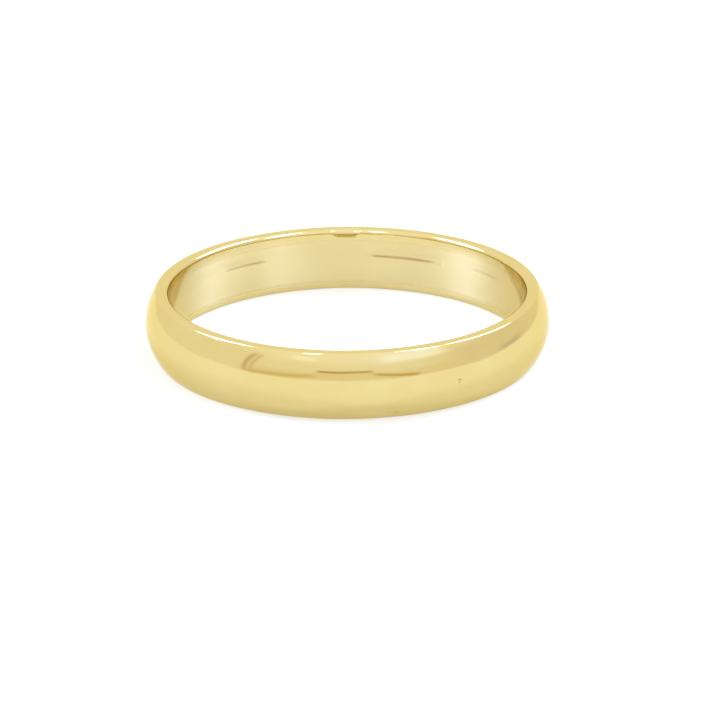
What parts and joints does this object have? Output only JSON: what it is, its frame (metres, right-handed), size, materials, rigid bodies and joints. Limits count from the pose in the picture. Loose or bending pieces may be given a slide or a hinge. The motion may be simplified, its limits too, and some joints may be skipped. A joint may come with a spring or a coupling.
{
  "type": "wedding band",
  "caption": "Plain polished yellow gold finger ring with a domed outside, flat sides and a flat inside, closed by a soldered joint.",
  "frame": {"origin": "centre of the finger hole, on the plane of the lower side face that the ring lies on", "axes": "+Z along the finger, up out of the surface that the ring lies on; +X through the soldered joint; the pictured side faces -Y"},
  "size_m": [0.0186, 0.0186, 0.003],
  "materials": {
    "yellow_gold": "high polish, fine wear scratches",
    "gold_solder": "polished flush with the band, a little paler"
  },
  "bodies": {
    "root": {"band": "yellow_gold", "solder_joint": "gold_solder"}
  },
  "joints": []
}
